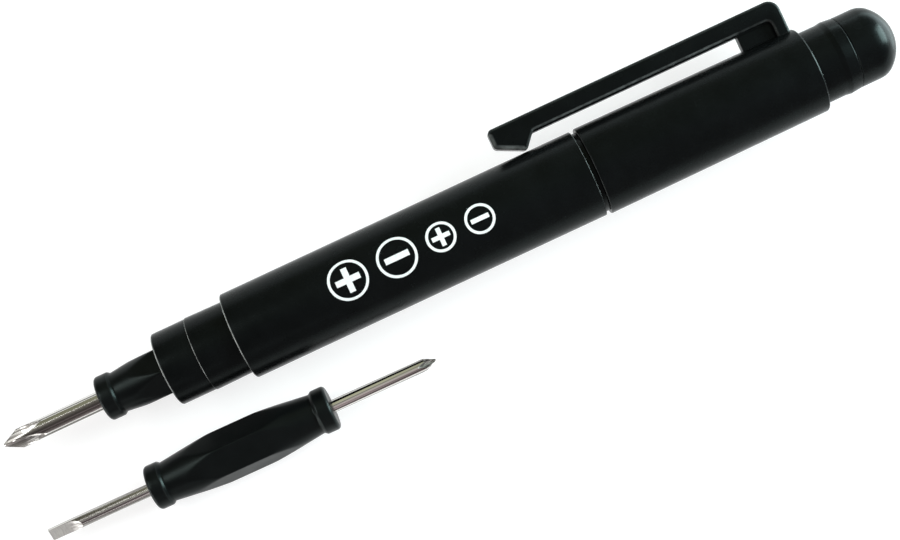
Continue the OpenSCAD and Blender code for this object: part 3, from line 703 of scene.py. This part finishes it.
# each piece moves with its body and stands in for the CAD node that it dresses
for piece, body, node, slot in (
        (barrelSleeve, "handle", "barrel", "black_plastic"),
        (noseRing, "handle", "nose_ring", "black_plastic"),
        (noseBush, "handle", "nose_bush", "black_plastic"),
        (coreTube, "handle", "core_tube", "black_plastic"),
        (capSleeve, "cap", "cap", "black_plastic"),
        (tailNeck, "cap", "tail_plug", "black_plastic"),
        (tailDome, "cap", "tail_dome", "black_plastic"),
        (clipGusset, "cap", "clip_root", "clip_plastic"),
        (driverGrip, "driver_bit", "large_grip", "grip_plastic"),
        (driverBlade, "driver_bit", "large_blade", "blade_steel"),
        (spareGrip, "spare_bit", "small_grip", "grip_plastic"),
        (spareBlade, "spare_bit", "small_blade", "blade_steel")):
    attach(piece, body)
    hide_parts(node)
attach(barrelPrint, "handle")
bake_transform(pocketClip)
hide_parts("clip_root", "clip_arm")

# a square floor, in metres, whose four sides turn up far away as a low backdrop
floorShape = dict(half=3.0, below=0.00005, backdrop=0.3)
floorMesh = bpy.data.meshes.new("floor")
floorCorners = (floorShape["half"] * np.array([(-1, -1), (1, -1), (1, 1), (-1, 1)])).tolist()
floorPoints = [(x, y, z) for z in (-floorShape["below"], floorShape["backdrop"]) for x, y in floorCorners]
floorMesh.from_pydata(floorPoints, [], [(0, 1, 2, 3), (0, 4, 5, 1), (1, 5, 6, 2), (2, 6, 7, 3), (3, 7, 4, 0)])
floor = bpy.data.objects.new("floor", floorMesh)
bpy.context.scene.collection.objects.link(floor)

# the floor is pale to lamps; seen by the camera and in reflections it is white, and still takes the shadow
floorLook = dict(pale=(0.72, 0.84, 0.84, 1), shown=(0.34, 0.34, 0.34, 1), glow=0.75)
floorFinish = bpy.data.materials.new("paleFloor")
floorFinish.use_nodes = True
tree = floorFinish.node_tree
tree.nodes.clear()
floorOut = tree.nodes.new("ShaderNodeOutputMaterial")
pale, shown = tree.nodes.new("ShaderNodeBsdfDiffuse"), tree.nodes.new("ShaderNodeBsdfDiffuse")
glow, whole = tree.nodes.new("ShaderNodeEmission"), tree.nodes.new("ShaderNodeAddShader")
choose, path = tree.nodes.new("ShaderNodeMixShader"), tree.nodes.new("ShaderNodeLightPath")
pale.inputs["Color"].default_value = floorLook["pale"]
shown.inputs["Color"].default_value = floorLook["shown"]
glow.inputs["Strength"].default_value = floorLook["glow"]
tree.links.new(shown.outputs[0], whole.inputs[0])
tree.links.new(glow.outputs[0], whole.inputs[1])
seen = mathOf(tree, "MAXIMUM", path.outputs["Is Camera Ray"], path.outputs["Is Glossy Ray"])
seen = mathOf(tree, "MAXIMUM", seen, path.outputs["Is Transmission Ray"])
tree.links.new(seen, choose.inputs["Fac"])
tree.links.new(pale.outputs[0], choose.inputs[1])
tree.links.new(whole.outputs[0], choose.inputs[2])
tree.links.new(choose.outputs[0], floorOut.inputs["Surface"])
floorMesh.materials.append(floorFinish)

# a dim room, with a strip of light over the near side of the tip; each ramp runs along a direction's X or Y,
# where 0.5 is straight up
roomLight = dict(
    colourY=[(0.25, (1, 0.83, 0.86)), (0.48, (1, 0.92, 0.92)), (0.55, (1, 1, 0.86)), (0.8, (1, 1, 0.7))],
    strengthX=[(0.3, 0.13), (0.39, 0.15), (0.45, 0.5), (0.48, 0.47), (0.53, 0.42), (0.6, 0.47), (0.75, 0.2)],
    stripX=[(0.3, 1), (0.39, 1), (0.43, 0)],
    stripY=[(0.09, 0), (0.1, 1.3), (0.13, 1.3), (0.14, 0)])
world = bpy.data.worlds.new("studio")
bpy.context.scene.world = world
world.use_nodes = True
tree = world.node_tree
tree.nodes.clear()
worldOut = tree.nodes.new("ShaderNodeOutputWorld")
room, strip = tree.nodes.new("ShaderNodeBackground"), tree.nodes.new("ShaderNodeBackground")
lit = tree.nodes.new("ShaderNodeAddShader")
toSky, parts = tree.nodes.new("ShaderNodeTexCoord"), tree.nodes.new("ShaderNodeSeparateXYZ")
tree.links.new(toSky.outputs["Generated"], parts.inputs["Vector"])


# a direction's part along one axis, from -1 to 1, spread over a ramp of light
def alongAxis(axis, stops):
    half = tree.nodes.new("ShaderNodeMath")
    half.operation = "MULTIPLY_ADD"
    half.inputs[1].default_value, half.inputs[2].default_value = 0.5, 0.5
    tree.links.new(parts.outputs[axis], half.inputs[0])
    return rampOf(tree, half.outputs[0], stops)


tree.links.new(alongAxis("Y", roomLight["colourY"]), room.inputs["Color"])
tree.links.new(alongAxis("X", roomLight["strengthX"]), room.inputs["Strength"])
stripX, stripY = alongAxis("X", roomLight["stripX"]), alongAxis("Y", roomLight["stripY"])
tree.links.new(mathOf(tree, "MULTIPLY", stripX, stripY), strip.inputs["Strength"])
tree.links.new(room.outputs[0], lit.inputs[0])
tree.links.new(strip.outputs[0], lit.inputs[1])
tree.links.new(lit.outputs[0], worldOut.inputs["Surface"])

# soft boxes: (azimuth from +X, angle from upright, distance, width, height, watts), in degrees and metres;
# the light from the tail is a little bluish
tailTint = (0.8, 0.98, 1.0)
softBoxes = dict(tail=(8, 39, 0.9, 0.5, 0.32, 1.0), tip=(150, 42, 0.9, 0.42, 0.36, 3.4),
                 tailPanel=(4.8, 73, 0.43, 0.23, 0.26, 5.0), tipPanel=(204, 78, 0.43, 0.4, 0.17, 0.95))


# a rectangular lamp that shines along its own -Z
def makeLamp(name, high, wide, watts, colour, location, rotation):
    lamp = bpy.data.lights.new(name, "AREA")
    lamp.shape, lamp.size, lamp.size_y = "RECTANGLE", high, wide
    lamp.energy, lamp.color = watts, colour
    holder = bpy.data.objects.new(name, lamp)
    holder.location, holder.rotation_euler = location, rotation
    bpy.context.scene.collection.objects.link(holder)


for name, (azimuth, lean, distance, wide, high, watts) in softBoxes.items():
    a, e = math.radians(azimuth), math.radians(lean)
    towards = np.array([math.sin(e) * math.cos(a), math.sin(e) * math.sin(a), math.cos(e)])
    colour = tailTint if name.startswith("tail") else (1, 1, 1)
    makeLamp(name + "Box", high, wide, watts, colour, distance * towards, (0, e, a))

# a bright sheet lies on the floor beyond the tail and shows in the dome's end
sheet = dict(place=(0.247, 0.047, 0.001), along=0.328, across=0.1, watts=0.36)
makeLamp("glowSheet", sheet["along"], sheet["across"], sheet["watts"], tailTint,
         sheet["place"], (math.pi, 0, 0))

# straight down, turned so that the handle rises to the right as in the photograph
view = dict(place=(-1.85, -0.47, 271.9), turn=-25.0, lens=70.6, sensor=36.0, nearest=0.005, farthest=20)
cameraData = bpy.data.cameras.new("camera")
cameraData.lens, cameraData.sensor_width = view["lens"], view["sensor"]
cameraData.clip_start, cameraData.clip_end = view["nearest"], view["farthest"]
camera = bpy.data.objects.new("camera", cameraData)
camera.location = np.array(view["place"]) * mm
camera.rotation_euler = (0, 0, math.radians(view["turn"]))
bpy.context.scene.collection.objects.link(camera)
bpy.context.scene.camera = camera
bpy.context.scene.view_settings.view_transform = "Standard"
print("stage made")
